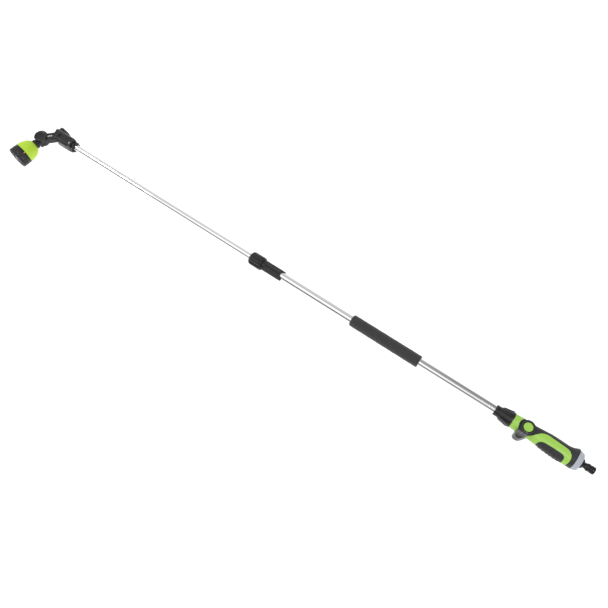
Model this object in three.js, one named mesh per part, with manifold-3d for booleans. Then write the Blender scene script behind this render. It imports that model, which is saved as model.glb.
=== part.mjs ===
// Telescopic watering wand, lying on its side. Millimetres, +Z up.
// X runs along the wand (spray head at -X, hose plug at +X), -Y is the side that the head bends to
// and the flow lever's tab hangs on, +Y is the back of the grip.
import * as THREE from 'three';
import { mergeVertices } from 'three/addons/utils/BufferGeometryUtils.js';
import Module from 'manifold-3d';

const wasm = await Module();
wasm.setup();

// ---- driving dimensions --------------------------------------------------------------------------
const GAP = 0.3; // clearance between pieces that touch
const FACETS = 24; // facets round a main part
const FINE = 12; // facets round a small part

const OUTER_TUBE_R = 10;
const INNER_TUBE_R = 8.5;
const TUBE_WALL = 1;
const OUTER_TUBE = { front: -136, back: 536.5 };
const INNER_TUBE = { front: -815, back: -62.3 };
const SLEEVE = { front: -139, back: -80, noseFront: -160, r: 13.2, noseR: 12 };
const NUT = { front: -176, back: -139.3, r: 17.2 };
const FOAM = { front: 118, back: 298, r: 14.3 };
const NOSE = { front: 485, back: 525.5, flare: 499.3 };
const SPIGOT_R = 13.1; // the handle core's threaded nose
const CORE = { nose: 503, grip: 545, back: 666.5 };
const SKIN = 2; // thickness of the covers on the grip
const LEVER_PIVOT = new THREE.Vector2(558, -1);
const LEVER = { discR: 15.6, bezelR: 14, buttonR: 9.8, innerZ: 13.3, outerZ: 17.6, clearR: 21 };
const LEVER_SWING = [0, 8, 16, 24]; // degrees, from shut to fully open
const RING_EDGE_R = 19.2; // round the pivot, where the green front ring stops
const VALVE = { chamberR: 8.9, spoolR: 6.7, seatZ: 9.7, axleR: 4, slotWidth: 3.2, slotHeight: 13 };
const PASSAGE_R = 6;
const COLLAR = { front: 666.8, back: 679, frontR: 22.4, backR: 18.5 };
const PLUG = { stub: 655, flange: 679.3, end: 710, boreR: 5, mouthR: 5.7, grooveX: 702.9 };
const ARM_PIVOT = new THREE.Vector2(-848, 0);
const KNUCKLE = new THREE.Vector2(-880, -31);
const COUPLING = { back: -789, tail: -781, half: 16, halfZ: 15, forkZ: 11.4, web: -833 };
const ARM_BARREL_R = 12;
const ARM_HALF = 12; // half the arm's width in the bend plane
const ARM_HALF_Z = 11;
const SWIVEL_R = 15;
const SWIVEL = { bottom: -14, split: -2, top: 11, axleR: 6, capR: 18, capTop: 15 };
const HEAD_ANGLE = THREE.MathUtils.degToRad(263); // direction of the spray axis in the XY plane
const BELL = { top: 27.8, rim: 63, rimR: 28.4 };
const DIAL = { back: 63.4, front: 87, r: 28.4, hubR: 10, boreR: 3.5 };

// ---- solids from three.js geometry ---------------------------------------------------------------
function signedVolume(geometry) {
  const p = geometry.attributes.position;
  const index = geometry.index.array;
  const [a, b, c] = [new THREE.Vector3(), new THREE.Vector3(), new THREE.Vector3()];
  let volume = 0;
  for (let i = 0; i < index.length; i += 3) {
    a.fromBufferAttribute(p, index[i]);
    b.fromBufferAttribute(p, index[i + 1]);
    c.fromBufferAttribute(p, index[i + 2]);
    volume += a.dot(b.cross(c)) / 6;
  }
  return volume;
}

function solid(geometry) {
  let g = geometry.clone();
  g.deleteAttribute('normal');
  g.deleteAttribute('uv');
  g = mergeVertices(g, 1e-4);
  const triangles = Uint32Array.from(g.index.array);
  if (signedVolume(g) < 0) {
    for (let i = 0; i < triangles.length; i += 3) {
      [triangles[i], triangles[i + 1]] = [triangles[i + 1], triangles[i]];
    }
  }
  const vertProperties = Float32Array.from(g.attributes.position.array);
  return new wasm.Manifold(new wasm.Mesh({ numProp: 3, vertProperties, triVerts: triangles }));
}

function geometryOf(manifold) {
  const mesh = manifold.getMesh();
  const g = new THREE.BufferGeometry();
  g.setAttribute('position', new THREE.BufferAttribute(Float32Array.from(mesh.vertProperties), 3));
  g.setIndex(new THREE.BufferAttribute(Uint32Array.from(mesh.triVerts), 1));
  g.computeVertexNormals();
  return g;
}

const unite = (first, ...rest) => rest.reduce((sum, s) => sum.add(s), first);
const cut = (body, ...tools) => tools.reduce((left, s) => left.subtract(s), body);

// A solid of revolution about X from [x, radius] points. A profile off the axis is closed on itself.
function turned(points, facets = FACETS) {
  const closed = points[0][1] > 0 ? [...points, points[0]] : points;
  const g = new THREE.LatheGeometry(closed.map(([x, r]) => new THREE.Vector2(r, x)), facets);
  return solid(g.rotateZ(-Math.PI / 2));
}

const ring = (x0, x1, inner, outer, facets) =>
  turned([[x0, inner], [x0, outer], [x1, outer], [x1, inner]], facets);

function torus(x, centreR, wireR, facets = 20) {
  const g = new THREE.TorusGeometry(centreR, wireR, 5, facets).rotateY(Math.PI / 2);
  return solid(g.translate(x, 0, 0));
}

const rodX = (x0, x1, r, facets = FACETS) => turned([[x0, 0], [x0, r], [x1, r], [x1, 0]], facets);

// The same shapes about a line parallel to Z through a point of the XY plane.
const upright = (manifold, at) => {
  const g = geometryOf(manifold).rotateY(-Math.PI / 2).translate(at.x, at.y, 0);
  return solid(g);
};
const rodZ = (at, z0, z1, r, facets = FACETS) => upright(rodX(z0, z1, r, facets), at);

const vectors = (points) => points.map(([x, y]) => new THREE.Vector2(x, y));

// A prism of an outline in the XY plane, between two heights.
function prismZ(points, z0, z1) {
  const g = new THREE.ExtrudeGeometry(new THREE.Shape(points), { depth: z1 - z0, bevelEnabled: false });
  return solid(g.translate(0, 0, z0));
}

// A prism of an outline given as [y, z], between two stations along X.
function prismX(points, x0, x1) {
  const g = new THREE.ExtrudeGeometry(new THREE.Shape(points), { depth: x1 - x0, bevelEnabled: false });
  const basis = new THREE.Matrix4().makeBasis(
    new THREE.Vector3(0, 1, 0), new THREE.Vector3(0, 0, 1), new THREE.Vector3(1, 0, 0));
  return solid(g.applyMatrix4(basis).translate(x0, 0, 0));
}

function block(x0, x1, y0, y1, z0, z1) {
  const g = new THREE.BoxGeometry(x1 - x0, y1 - y0, z1 - z0);
  return solid(g.translate((x0 + x1) / 2, (y0 + y1) / 2, (z0 + z1) / 2));
}

const turnedZ = (manifold, angle) => solid(geometryOf(manifold).rotateZ(angle));
const turnedX = (manifold, angle) => solid(geometryOf(manifold).rotateX(angle));

// A round outline whose radius swells and sinks with a number of lobes.
function lobedOutline(r, lobes, depth, count = 48) {
  return Array.from({ length: count }, (_, i) => {
    const a = (i / count) * 2 * Math.PI;
    const here = r - depth * (0.5 - 0.5 * Math.cos(lobes * a));
    return new THREE.Vector2(here * Math.cos(a), here * Math.sin(a));
  });
}

// Moves every point of a closed outline outwards (anticlockwise outlines) by a distance.
function grown(points, distance) {
  return points.map((p, i) => {
    const before = points[(i + points.length - 1) % points.length];
    const after = points[(i + 1) % points.length];
    const along = after.clone().sub(before).normalize();
    return new THREE.Vector2(p.x + along.y * distance, p.y - along.x * distance);
  });
}

// ---- the scene graph -----------------------------------------------------------------------------
const wand = new THREE.Group();

const BLACK = { color: 0x2e2e30, roughness: 0.45, metalness: 0 };
const SOFT_BLACK = { color: 0x333335, roughness: 0.8, metalness: 0 };
const GLOSS_BLACK = { color: 0x141415, roughness: 0.15, metalness: 0 };
const HANDLE_GREEN = { color: 0x8cc63f, roughness: 0.4, metalness: 0 };
const BELL_GREEN = { color: 0xa9d92c, roughness: 0.35, metalness: 0 };
const GREY = { color: 0x9aa0aa, roughness: 0.6, metalness: 0 };
const ALUMINIUM = { color: 0xd6d8da, roughness: 0.2, metalness: 1 };
const STEEL = { color: 0xb4b6b8, roughness: 0.3, metalness: 1 };
const NYLON = { color: 0xdad8d0, roughness: 0.5, metalness: 0 };
const FOAM_GREY = { color: 0x3a3939, roughness: 0.95, metalness: 0 };
const ORANGE = { color: 0xe09a3c, roughness: 0.5, metalness: 0 };

function piece(name, manifold, look, parent = wand) {
  const mesh = new THREE.Mesh(geometryOf(manifold), new THREE.MeshStandardMaterial(look));
  mesh.name = name;
  parent.add(mesh);
}

// ---- tubes and telescopic lock -------------------------------------------------------------------
function tubes() {
  const bore = OUTER_TUBE_R - TUBE_WALL;
  piece('outer_tube', ring(OUTER_TUBE.front, OUTER_TUBE.back, bore, OUTER_TUBE_R), ALUMINIUM);
  const innerBore = INNER_TUBE_R - TUBE_WALL;
  piece('inner_tube', ring(INNER_TUBE.front, INNER_TUBE.back, innerBore, INNER_TUBE_R), ALUMINIUM);
  const edge = 3;
  const foam = turned([
    [FOAM.front, OUTER_TUBE_R + GAP], [FOAM.front, FOAM.r - edge], [FOAM.front + 1, FOAM.r - 1],
    [FOAM.front + edge, FOAM.r], [FOAM.back - edge, FOAM.r], [FOAM.back - 1, FOAM.r - 1],
    [FOAM.back, FOAM.r - edge], [FOAM.back, OUTER_TUBE_R + GAP]]);
  piece('foam_grip', foam, FOAM_GREY);
}

function telescopicLock() {
  const tubeBore = INNER_TUBE_R + 0.4;
  const fluted = prismX(lobedOutline(SLEEVE.r, 14, 0.7, 56), SLEEVE.front, SLEEVE.back);
  const notch = rodZ(new THREE.Vector2(SLEEVE.back + 8, 0), -20, 20, 14);
  const sleeve = cut(
    unite(fluted, rodX(SLEEVE.noseFront, SLEEVE.front + 1, SLEEVE.noseR)),
    rodX(SLEEVE.noseFront - 1, OUTER_TUBE.front - GAP, tubeBore),
    rodX(OUTER_TUBE.front - GAP, SLEEVE.back + 1, OUTER_TUBE_R + GAP),
    notch);
  piece('lock_sleeve', sleeve, BLACK);

  const shape = turned([[NUT.front, 0], [NUT.front, NUT.r - 3], [NUT.front + 3, NUT.r + 1],
    [NUT.back - 3, NUT.r + 1], [NUT.back, NUT.r - 2], [NUT.back, 0]]);
  const nutBore = SLEEVE.noseR + 0.4;
  const throat = NUT.front + 2.5;
  const nut = cut(
    prismX(lobedOutline(NUT.r, 6, 1.6), NUT.front, NUT.back).intersect(shape),
    rodX(NUT.front - 1, NUT.back + 1, tubeBore),
    rodX(throat, NUT.back + 1, nutBore));
  piece('lock_nut', nut, BLACK);

  const slit = block(throat, SLEEVE.noseFront, 0, nutBore + 2, -0.8, 0.8);
  const collet = ring(throat + GAP, SLEEVE.noseFront - GAP, tubeBore, nutBore - GAP, FINE);
  piece('lock_collet', cut(collet, slit), NYLON);
}

function piston() {
  const bore = 5.5;
  const tail = INNER_TUBE.back;
  const headR = OUTER_TUBE_R - TUBE_WALL - GAP;
  const bush = turned([[tail - 18, bore], [tail - 18, INNER_TUBE_R - TUBE_WALL - GAP],
    [tail + GAP, INNER_TUBE_R - TUBE_WALL - GAP], [tail + GAP, headR], [tail + 4.4, headR], [tail + 4.4, 7.1],
    [tail + 7.6, 7.1], [tail + 7.6, headR], [tail + 12.3, headR], [tail + 12.3, bore]], 32);
  piece('piston_bush', bush, NYLON);
  piece('piston_o_ring', torus(tail + 6, 8, 0.6), SOFT_BLACK);
}

// ---- handle --------------------------------------------------------------------------------------
// The grip's outside: [x, height above the axis, depth below it, half-width].
const GRIP = [
  [525.8, 15.9, 15.9, 15.8], [535, 16.4, 16.4, 16.2], [545, 16.9, 17, 16], [558, 16.8, 17.2, 15.4],
  [572, 16.4, 17.3, 15.6], [590, 17.6, 19, 17], [606, 18.6, 20.8, 18.2], [625, 18.2, 22.2, 18.8],
  [643, 17.5, 22.4, 19], [655, 19.2, 22, 20.2], [663, 23, 21.8, 22], [666.5, 23.7, 21.8, 22.5]];

function gripLoft(inset) {
  const samples = 13;
  const around = 24;
  const lines = [1, 2, 3].map((k) => new THREE.SplineCurve(GRIP.map((s) => new THREE.Vector2(s[0], s[k]))));
  const vertices = [];
  for (let i = 0; i <= samples; i++) {
    const [top, bottom, side] = lines.map((line) => line.getPoint(i / samples));
    for (let j = 0; j < around; j++) {
      const a = (j / around) * 2 * Math.PI;
      const [c, s] = [Math.cos(a), Math.sin(a)];
      const height = (c > 0 ? top.y : bottom.y) - inset;
      const round = (v) => Math.sign(v) * Math.abs(v) ** 0.92;
      vertices.push(top.x, height * round(c), (side.y - inset) * round(s));
    }
  }
  const [first, last] = [GRIP[0][0], GRIP[GRIP.length - 1][0]];
  vertices.push(first, 0, 0, last, 0, 0);
  const triangles = [];
  const total = (samples + 1) * around;
  for (let j = 0; j < around; j++) {
    const next = (j + 1) % around;
    triangles.push(total, next, j);
    triangles.push(total + 1, samples * around + j, samples * around + next);
    for (let i = 0; i < samples; i++) {
      const [a, b] = [i * around + j, i * around + next];
      triangles.push(a, b, b + around, a, b + around, a + around);
    }
  }
  const g = new THREE.BufferGeometry();
  g.setAttribute('position', new THREE.Float32BufferAttribute(vertices, 3));
  g.setIndex(triangles);
  return solid(g);
}

// Side outlines of the green panel and of the finger pad, anticlockwise, closed below the grip.
const BELOW = -30;
const PANEL_OUTLINE = vectors([[552, BELOW], [656, BELOW], [657.5, -14], [655, -4.5], [648.5, 2.8],
  [640, 4.8], [621, 5.9], [603, 7.6], [595.5, 7.5], [586, 3.7], [578.5, -4.5], [571.5, -12], [564, -15.2],
  [556, -17.4]]);
const PAD_OUTLINE = vectors([[585, BELOW], [646.5, BELOW], [646, -17], [643, -12.6], [635.5, -11],
  [621, -10.6], [606, -10.4], [599, -10.5], [593, -12.3], [589, -15.8]]);

// The lever's tab from the side, and how far out the grip is left clear for the lever's cheeks.
const LEVER_TAB = vectors([[542.8, -3], [541.3, -22.5], [541.7, -27], [544.7, -30.3], [549, -31.5],
  [553.5, -30.9], [557.5, -28.3], [564, -20], [571.3, -5]]);
const SEAT_Z = 12.9;
const PAD_RIB = { first: 594, pitch: 8.4, width: 5, top: -11.5, halfZ: 16 };

const turnedAbout = (at, degrees, manifold) => {
  const g = geometryOf(manifold).translate(-at.x, -at.y, 0).rotateZ(THREE.MathUtils.degToRad(degrees));
  return solid(g.translate(at.x, at.y, 0));
};

function handle() {
  const wide = 40;
  const front = GRIP[0][0];
  const outside = gripLoft(0);
  const coreZone = block(CORE.grip, CORE.back, -wide, wide, -wide, wide);
  const coreShape = unite(gripLoft(SKIN + GAP).intersect(coreZone), rodX(CORE.nose, CORE.grip + 1, SPIGOT_R));
  const underZone = block(CORE.grip - GAP, CORE.back + 1, -wide, wide, -wide, wide);
  const underSkin = unite(gripLoft(SKIN).intersect(underZone), rodX(CORE.nose, CORE.grip, SPIGOT_R + GAP));
  const skin = cut(outside.intersect(block(front, CORE.back - GAP, -wide, wide, -wide, wide)), underSkin);
  const discClear = LEVER.discR + 1;
  const cheeks = unite(...LEVER_SWING.map((degrees) => turnedAbout(LEVER_PIVOT, degrees,
    prismZ(grown(LEVER_TAB, 0.5), -wide, wide))), rodZ(LEVER_PIVOT, -wide, wide, discClear));
  const leverSeats = cut(cheeks, block(500, 700, -wide, wide, -SEAT_Z, SEAT_Z));

  const chamberMouth = rodZ(LEVER_PIVOT, -1, wide, VALVE.chamberR);

  // Core: passage, valve chamber, tube socket and plug socket.
  const core = cut(
    unite(coreShape, rodX(CORE.back - 1, COLLAR.back - 3.3, 14)),
    rodX(CORE.nose - 1, OUTER_TUBE.back + GAP, OUTER_TUBE_R + GAP),
    rodX(OUTER_TUBE.back, PLUG.stub, PASSAGE_R),
    rodX(PLUG.stub - 1, COLLAR.back, 9),
    rodZ(LEVER_PIVOT, -VALVE.seatZ - GAP, 0, VALVE.chamberR),
    chamberMouth,
    rodZ(LEVER_PIVOT, -wide, wide, VALVE.axleR + GAP),
    leverSeats);
  piece('handle_core', core, BLACK);

  const ringEdge = rodZ(LEVER_PIVOT, -wide, wide, RING_EDGE_R);
  const ringZone = block(front, CORE.grip, -wide, wide, -wide, wide);
  piece('front_ring', cut(skin.intersect(ringZone), ringEdge, leverSeats), HANDLE_GREEN);

  const spineZone = unite(block(CORE.grip + GAP, 700, -wide, wide, -wide, wide),
    rodZ(LEVER_PIVOT, -wide, wide, RING_EDGE_R - GAP));
  const panelPrism = prismZ(PANEL_OUTLINE, -wide, wide);
  const panelHole = prismZ(grown(PANEL_OUTLINE, GAP), -wide, wide);
  const padHole = prismZ(grown(PAD_OUTLINE, GAP), -wide, wide);
  piece('grip_spine', cut(skin.intersect(spineZone), panelHole, chamberMouth, leverSeats), SOFT_BLACK);
  piece('green_panel', cut(skin.intersect(panelPrism), padHole, leverSeats), HANDLE_GREEN);

  const proud = gripLoft(-1).intersect(prismZ(PAD_OUTLINE, -wide, wide));
  const ribs = Array.from({ length: 6 }, (_, i) => {
    const start = PAD_RIB.first + i * PAD_RIB.pitch;
    return block(start, start + PAD_RIB.width, BELOW, PAD_RIB.top, -PAD_RIB.halfZ, PAD_RIB.halfZ);
  });
  const pad = unite(skin.intersect(prismZ(PAD_OUTLINE, -wide, wide)),
    cut(proud, underSkin).intersect(unite(...ribs)));
  piece('finger_pad', pad, SOFT_BLACK);
}

function noseNut() {
  const bore = OUTER_TUBE_R + 0.4;
  const socket = SPIGOT_R + GAP;
  const cone = turned([[NOSE.front, bore], [NOSE.front, 11.4], [NOSE.front + 1, 12], [495.5, 12], [499, 13.7],
    [522, 17.4], [NOSE.back, 17.4], [NOSE.back, socket], [NOSE.flare, socket], [NOSE.flare, bore]]);
  const ribSide = vectors([[497.5, 12], [500, 15.2], [520, 18.7], [523.8, 17], [523.8, 14.5], [500, 13.8],
    [498.6, 12.6]]);
  const rib = prismZ(ribSide, -1.6, 1.6);
  const ribs = Array.from({ length: 6 }, (_, i) => turnedX(rib, ((i + 0.5) * Math.PI) / 3));
  const screwAt = new THREE.Vector2(490.5, 0);
  piece('nose_nut', cut(unite(cone, ...ribs), rodZ(screwAt, 8, 14, 1.6, FINE)), BLACK);
  const screw = turned([[10.4, 0], [10.4, 1.2], [12.3, 1.2], [12.3, 2.4], [13.3, 2.3], [13.9, 1.5],
  [13.9, 0]], FINE);
  piece('nose_screw', upright(screw, screwAt), STEEL);
  piece('tube_seal', ring(NOSE.flare + GAP, CORE.nose - GAP, bore, SPIGOT_R, 32), SOFT_BLACK);
}

function rearEnd() {
  const spigot = 14 + GAP;
  const collar = turned([[COLLAR.front, spigot], [COLLAR.front, COLLAR.frontR], [672, 21.5], [676.5, 20],
    [COLLAR.back, COLLAR.backR], [COLLAR.back, 9], [COLLAR.back - 3, 9], [COLLAR.back - 3, spigot]]);
  piece('end_collar', collar, GREY);
  const half = 1.35; // half the width of the seal's groove
  const plug = turned([
    [PLUG.stub + GAP, PLUG.boreR], [PLUG.stub + GAP, 8.6], [PLUG.flange, 8.6], [PLUG.flange, 10.9],
    [683.4, 10.9], [684.4, 10.1], [686, 7.5], [687.6, 6.5], [690.4, 6.5], [692.4, 7.6], [695, 8.6],
    [697, 8.6], [698.6, 7.8],
    [PLUG.grooveX - half, 7.8], [PLUG.grooveX - half, 6.3], [PLUG.grooveX + half, 6.3],
    [PLUG.grooveX + half, 8.3], [708.8, 8.3], [PLUG.end, 7.5], [PLUG.end, PLUG.mouthR], [704.5, PLUG.mouthR],
    [704.5, PLUG.boreR]], 20);
  piece('hose_plug', plug, GLOSS_BLACK);
  piece('plug_o_ring', torus(PLUG.grooveX, 7.55, 0.9), SOFT_BLACK);
  const holes = Array.from({ length: 6 }, (_, i) => {
    const a = (i * Math.PI) / 3;
    return solid(geometryOf(rodX(700, 712, 0.9, 8)).translate(0, 3.1 * Math.cos(a), 3.1 * Math.sin(a)));
  });
  piece('filter_washer', cut(rodX(704.8, 706, PLUG.mouthR - GAP, FINE), ...holes), STEEL);
}

// ---- flow lever and valve ------------------------------------------------------------------------
function valve() {
  const { seatZ, spoolR, axleR, chamberR, slotWidth, slotHeight } = VALVE;
  const slot = block(-20, 20, -slotWidth / 2, slotWidth / 2, -slotHeight / 2, slotHeight / 2);
  const seat = cut(ring(-seatZ, seatZ, spoolR + GAP, chamberR - GAP), turnedStanding(slot));
  piece('valve_seat', upright(seat, LEVER_PIVOT), NYLON);
  const end = 14.5; // the axle's ends, inside the lever's discs
  const body = 9.4; // half the spool's length
  const groove = { at: 8, half: 1.1, r: 5.1 };
  const half = [[groove.at - groove.half, spoolR], [groove.at - groove.half, groove.r],
    [groove.at + groove.half, groove.r], [groove.at + groove.half, spoolR], [body, spoolR], [body, axleR],
    [end, axleR], [end, 0]];
  const profile = [...half.map(([x, r]) => [-x, r]).reverse(), ...half];
  const spoolSlot = turnedStanding(slot, THREE.MathUtils.degToRad(LEVER_SWING.at(-1)));
  piece('valve_spool', upright(cut(turned(profile, 32), spoolSlot), LEVER_PIVOT), NYLON);
  piece('spool_o_ring_upper', upright(torus(groove.at, 6, 0.6), LEVER_PIVOT), SOFT_BLACK);
  piece('spool_o_ring_lower', upright(torus(-groove.at, 6, 0.6), LEVER_PIVOT), SOFT_BLACK);
  piece('valve_cap', upright(ring(seatZ + GAP, 12.6, axleR + GAP, chamberR - GAP), LEVER_PIVOT), BLACK);
}

// Lays a solid made about Z so that it fits a piece that is turned about X and stood upright later.
function turnedStanding(manifold, angle = 0) {
  return solid(geometryOf(manifold).rotateZ(-angle).rotateY(Math.PI / 2));
}

function lever() {
  const { discR, bezelR, buttonR, innerZ, outerZ, clearR } = LEVER;
  const at = LEVER_PIVOT;
  const taper = vectors([[30, outerZ], [-16, outerZ], [-25, 14.5], [-30, 12], [-32.5, 9], [-32.5, -9],
    [-30, -12], [-25, -14.5], [-16, -outerZ], [30, -outerZ]]);
  const tab = prismZ(LEVER_TAB, -outerZ, outerZ).intersect(prismX(taper, 500, 620));
  const rimZ = outerZ + 0.8;
  const rim = ring(-rimZ, rimZ, bezelR - 1.3, bezelR);
  const yoke = unite(rodZ(at, -outerZ, outerZ, discR), tab, upright(rim, at));
  const recess = cut(rodZ(at, -30, 30, buttonR + 0.4), rodZ(at, -14.8, 14.8, bezelR));
  const ringRoom = rodX(520, CORE.grip + 1, 17.6).intersect(block(520, 550, -30, 30, -13, 13));
  piece('flow_lever', cut(yoke, rodZ(at, -innerZ, innerZ, clearR), ringRoom, recess,
    rodZ(at, -20, 20, VALVE.axleR + GAP, FINE)), BLACK);
  const button = turned([[15.1, 0], [15.1, buttonR], [18.8, buttonR], [19.6, buttonR - 0.9],
    [20, buttonR - 3], [20.1, 0]]);
  piece('lever_button', upright(button, at), HANDLE_GREEN);
  const rear = solid(geometryOf(button).rotateZ(Math.PI));
  piece('rear_button', upright(rear, at), HANDLE_GREEN);
}

// ---- coupling, thumb catch and arm ---------------------------------------------------------------
// The catch's pocket and stem by stations on X, and the blind bore that its spring moves into.
const CATCH = { pocket: [-841, -824], stem: [-840, -836], pocketZ: 3.6, floor: 10.4, top: 16, springY: 12.6,
  springEnd: -819.8 };

function coupling() {
  const { back, tail, half, halfZ, forkZ, web } = COUPLING;
  const corner = 5;
  const octagon = vectors([[half, -halfZ + corner], [half, halfZ - corner], [half - corner, halfZ],
    [-half + corner, halfZ], [-half, halfZ - corner], [-half, -halfZ + corner], [-half + corner, -halfZ],
    [half - corner, -halfZ]]);
  const side = vectors([[-858, half + 1], [-859, 9], [-853, -7], [-838, -half - 1], [-806, -half - 1],
    [back, -12.5], [back, 13], [-804, half + 1]]);
  const shell = prismX(octagon, -870, back).intersect(prismZ(side, -20, 20));
  const flare = turned([[back - 4, 0], [back - 4, 12], [tail, 14.2], [tail, 0]]);
  const scallops = Array.from({ length: 4 }, (_, i) => {
    const bite = solid(new THREE.SphereGeometry(6, 12, 8).translate(tail + 2.5, 13.5, 0));
    return turnedX(bite, (i * Math.PI) / 2);
  });
  const forkSlot = unite(
    block(-880, web, -30, CATCH.top - 3.4, -forkZ, forkZ),
    rodZ(ARM_PIVOT, -forkZ, forkZ, ARM_BARREL_R + 0.6));
  const passage = rodX(web - 2, tail, PASSAGE_R + 1);
  const socket = rodX(INNER_TUBE.front - 2, tail + 1, INNER_TUBE_R + GAP);
  const sealGroove = rodX(-801.3, -798.7, 10.4);
  const pins = rodZ(ARM_PIVOT, -20, 20, 3 + GAP, FINE);
  const pocket = block(...CATCH.pocket, CATCH.floor - 1.4, 20, -CATCH.pocketZ, CATCH.pocketZ);
  const panel = prismZ(vectors([[-838, -5], [-838, 4], [-806, 3], [-803, -5]]), halfZ - 1, 20);
  const screwAt = new THREE.Vector2(-795, -5);
  const bore = geometryOf(rodX(CATCH.pocket[1] - 1, CATCH.springEnd, 2.6, FINE));
  const springBore = solid(bore.translate(0, CATCH.springY, 0));
  const screwHole = rodZ(screwAt, 9, 20, 1.6, FINE);
  const body = cut(unite(shell, cut(flare, ...scallops)), forkSlot, passage, socket, sealGroove, pins, pocket,
    springBore, panel, screwHole);
  piece('coupling_shell', body, BLACK);
  piece('tube_o_ring', torus(-800, 9.5, 0.6), SOFT_BLACK);
  const screw = turned([[10, 0], [10, 1.2], [halfZ + GAP, 1.2], [halfZ + GAP, 2.7], [halfZ + 1.4, 2.5],
    [halfZ + 1.9, 1.6], [halfZ + 1.9, 0]], FINE);
  piece('coupling_screw', upright(screw, screwAt), STEEL);
  const pin = rodX(7.6, halfZ - 0.2, 3, FINE);
  piece('arm_pin_near', upright(pin, ARM_PIVOT), STEEL);
  piece('arm_pin_far', upright(solid(geometryOf(pin).rotateZ(Math.PI)), ARM_PIVOT), STEEL);
}

function thumbCatch() {
  const base = COUPLING.half + GAP;
  const fins = 5;
  const outline = vectors([[-825, base], [-825, 20.5]]);
  const finFront = -860;
  const finBack = -827;
  for (let i = 0; i < fins; i++) {
    const step = (finBack - finFront) / fins;
    const at = finBack - i * step;
    const height = 22.6 + i * 1.25;
    outline.push(new THREE.Vector2(at, height), new THREE.Vector2(at - step * 0.45, height + 0.4),
      new THREE.Vector2(at - step * 0.6, height - 1.6), new THREE.Vector2(at - step * 0.98, height - 1.2));
  }
  outline.push(new THREE.Vector2(-861, 27), new THREE.Vector2(-863.5, 26), new THREE.Vector2(-864, base));
  const blade = prismZ(outline, -5.5, 5.5);
  const stem = block(...CATCH.stem, CATCH.floor, base + 1, -CATCH.pocketZ + GAP, CATCH.pocketZ - GAP);
  const relief = unite(block(-870, -855, 10, 40, 3.2, 9), block(-870, -855, 10, 40, -9, -3.2));
  piece('thumb_catch', cut(unite(blade, stem), relief), BLACK);

  const turns = 5;
  const coilR = 1.9;
  const [start, end] = [CATCH.stem[1] + 0.7, CATCH.pocket[1] - 0.7];
  class Helix extends THREE.Curve {
    getPoint(t) {
      const a = t * turns * 2 * Math.PI;
      const x = start + (end - start) * t;
      return new THREE.Vector3(x, CATCH.springY + coilR * Math.cos(a), coilR * Math.sin(a));
    }
  }
  const wire = new THREE.Shape(Array.from({ length: 5 }, (_, i) =>
    new THREE.Vector2(0.4 * Math.cos((i * 2 * Math.PI) / 5), 0.4 * Math.sin((i * 2 * Math.PI) / 5))));
  const path = { extrudePath: new Helix(), steps: turns * 8, bevelEnabled: false };
  const coil = new THREE.ExtrudeGeometry(wire, path);
  piece('catch_spring', solid(coil), STEEL);
}

// The arm lies along its own +X from the pivot in the coupling to the knuckle.
function arm() {
  const group = new THREE.Group();
  const reach = ARM_PIVOT.distanceTo(KNUCKLE);
  const heading = KNUCKLE.clone().sub(ARM_PIVOT).angle();
  group.position.set(ARM_PIVOT.x, ARM_PIVOT.y, 0);
  group.rotation.z = heading;
  wand.add(group);
  const origin = new THREE.Vector2(0, 0);
  const knuckle = new THREE.Vector2(reach, 0);
  const chamfer = 4;
  const section = vectors([[ARM_HALF, -ARM_HALF_Z + chamfer], [ARM_HALF, ARM_HALF_Z - chamfer],
    [ARM_HALF - chamfer, ARM_HALF_Z], [-ARM_HALF + chamfer, ARM_HALF_Z], [-ARM_HALF, ARM_HALF_Z - chamfer],
    [-ARM_HALF, -ARM_HALF_Z + chamfer], [-ARM_HALF + chamfer, -ARM_HALF_Z],
    [ARM_HALF - chamfer, -ARM_HALF_Z]]);
  const plate = block(15.5, 28, -4, 4, ARM_HALF_Z - 0.6, 15);
  const stubs = unite(rodZ(origin, 7.3, 20, 3 + GAP, FINE), rodZ(origin, -20, -7.3, 3 + GAP, FINE));
  const toTube = turnedZ(rodX(0, 20, 5, FINE), -heading);
  const body = cut(
    unite(prismX(section, 1, reach - 2), rodZ(origin, -ARM_HALF_Z, ARM_HALF_Z, ARM_BARREL_R),
      rodZ(knuckle, SWIVEL.split, SWIVEL.top, SWIVEL_R)),
    rodZ(knuckle, -30, SWIVEL.split, SWIVEL_R + 0.5),
    rodZ(knuckle, SWIVEL.split - 1, 30, SWIVEL.axleR + GAP),
    rodZ(knuckle, SWIVEL.top, 30, SWIVEL.capR + 0.4),
    rodX(0, reach, 5, FINE), toTube, stubs, plate);
  piece('spray_arm', body, BLACK, group);
}

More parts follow.
